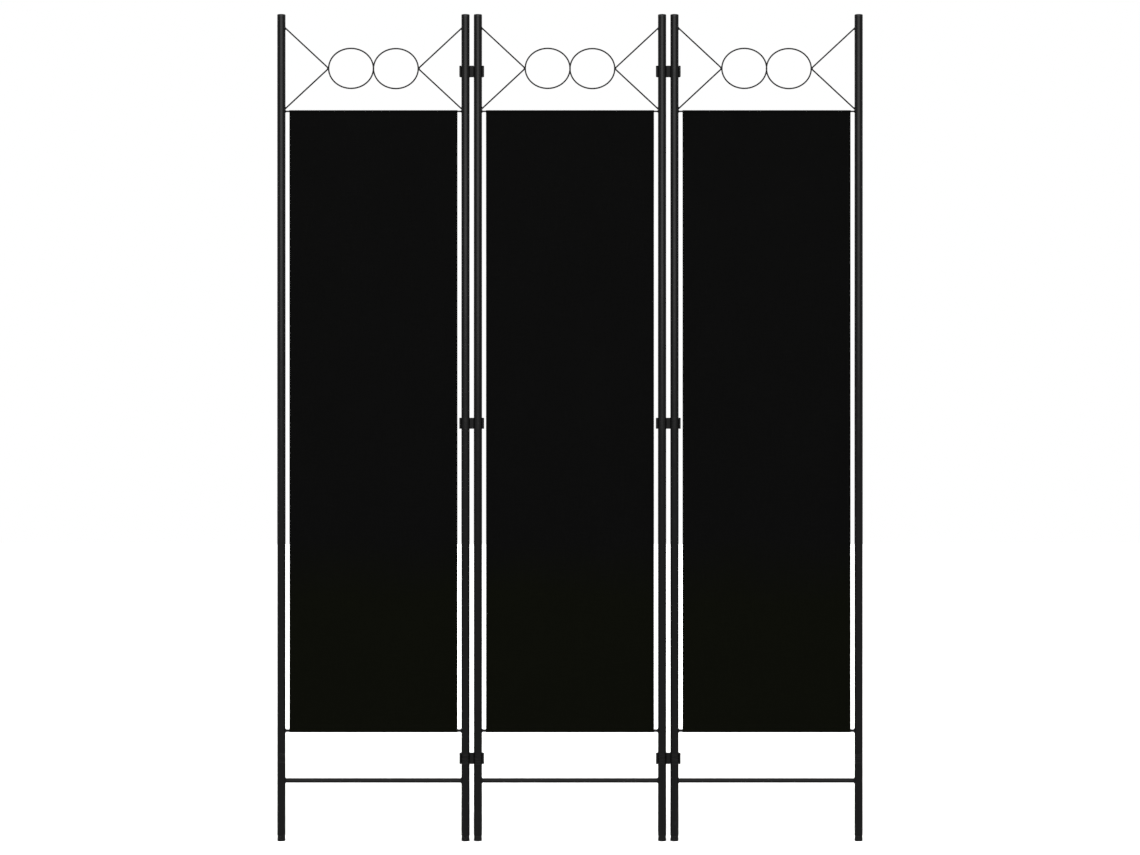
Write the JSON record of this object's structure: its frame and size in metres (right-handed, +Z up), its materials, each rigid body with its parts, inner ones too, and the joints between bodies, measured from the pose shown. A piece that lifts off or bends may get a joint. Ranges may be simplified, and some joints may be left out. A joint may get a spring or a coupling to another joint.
{
  "type": "folding room divider screen",
  "caption": "Free-standing folding screen of steel-tube panels with hung cloth and wire-ring scrollwork, joined by swivelling snap clips.",
  "frame": {"origin": "on the floor under the middle of the middle panel, in the plane of the post axes", "axes": "+X to the right along the opened screen, +Y to the back (the closed side of the clips), +Z up"},
  "size_m": [1.275, 0.0225, 1.8],
  "materials": {
    "black_metal": "satin black powder coat",
    "black_plastic": "moulded black, fine texture",
    "black_cloth": "plain-woven black polyester"
  },
  "bodies": {
    "left_panel": {"left_panel_left_post": "black_metal", "left_panel_right_post": "black_metal", "left_panel_left_cap": "black_plastic", "left_panel_right_cap": "black_plastic", "left_panel_left_foot": "black_plastic", "left_panel_right_foot": "black_plastic", "left_panel_left_ring": "black_metal", "left_panel_right_ring": "black_metal", "left_panel_left_upper_strut": "black_metal", "left_panel_left_lower_strut": "black_metal", "left_panel_right_upper_strut": "black_metal", "left_panel_right_lower_strut": "black_metal", "left_panel_top_rod": "black_metal", "left_panel_bottom_rod": "black_metal", "left_panel_crossbar": "black_metal", "left_panel_cloth": "black_cloth"},
    "middle_panel": {"middle_panel_left_post": "black_metal", "middle_panel_right_post": "black_metal", "middle_panel_left_cap": "black_plastic", "middle_panel_right_cap": "black_plastic", "middle_panel_left_foot": "black_plastic", "middle_panel_right_foot": "black_plastic", "middle_panel_left_ring": "black_metal", "middle_panel_right_ring": "black_metal", "middle_panel_left_upper_strut": "black_metal", "middle_panel_left_lower_strut": "black_metal", "middle_panel_right_upper_strut": "black_metal", "middle_panel_right_lower_strut": "black_metal", "middle_panel_top_rod": "black_metal", "middle_panel_bottom_rod": "black_metal", "middle_panel_crossbar": "black_metal", "middle_panel_cloth": "black_cloth"},
    "right_panel": {"right_panel_left_post": "black_metal", "right_panel_right_post": "black_metal", "right_panel_left_cap": "black_plastic", "right_panel_right_cap": "black_plastic", "right_panel_left_foot": "black_plastic", "right_panel_right_foot": "black_plastic", "right_panel_left_ring": "black_metal", "right_panel_right_ring": "black_metal", "right_panel_left_upper_strut": "black_metal", "right_panel_left_lower_strut": "black_metal", "right_panel_right_upper_strut": "black_metal", "right_panel_right_lower_strut": "black_metal", "right_panel_top_rod": "black_metal", "right_panel_bottom_rod": "black_metal", "right_panel_crossbar": "black_metal", "right_panel_cloth": "black_cloth"},
    "left_clips": {"left_clip_top": "black_plastic", "left_clip_centre": "black_plastic", "left_clip_bottom": "black_plastic"},
    "right_clips": {"right_clip_top": "black_plastic", "right_clip_centre": "black_plastic", "right_clip_bottom": "black_plastic"}
  },
  "joints": [
    {"name": "left_clip_swing", "type": "hinge", "parent": "middle_panel", "child": "left_clips", "pos_m": [-0.2005, 0, 0.9], "axis": [0, 0, 1], "range_deg": [-30, 90]},
    {"name": "left_wing_fold", "type": "hinge", "parent": "left_clips", "child": "left_panel", "pos_m": [-0.2275, 0, 0.9], "axis": [0, 0, 1], "range_deg": [-30, 90]},
    {"name": "right_clip_swing", "type": "hinge", "parent": "middle_panel", "child": "right_clips", "pos_m": [0.2005, 0, 0.9], "axis": [0, 0, 1], "range_deg": [-30, 90]},
    {"name": "right_wing_fold", "type": "hinge", "parent": "right_clips", "child": "right_panel", "pos_m": [0.2275, 0, 0.9], "axis": [0, 0, 1], "range_deg": [-30, 90]}
  ]
}
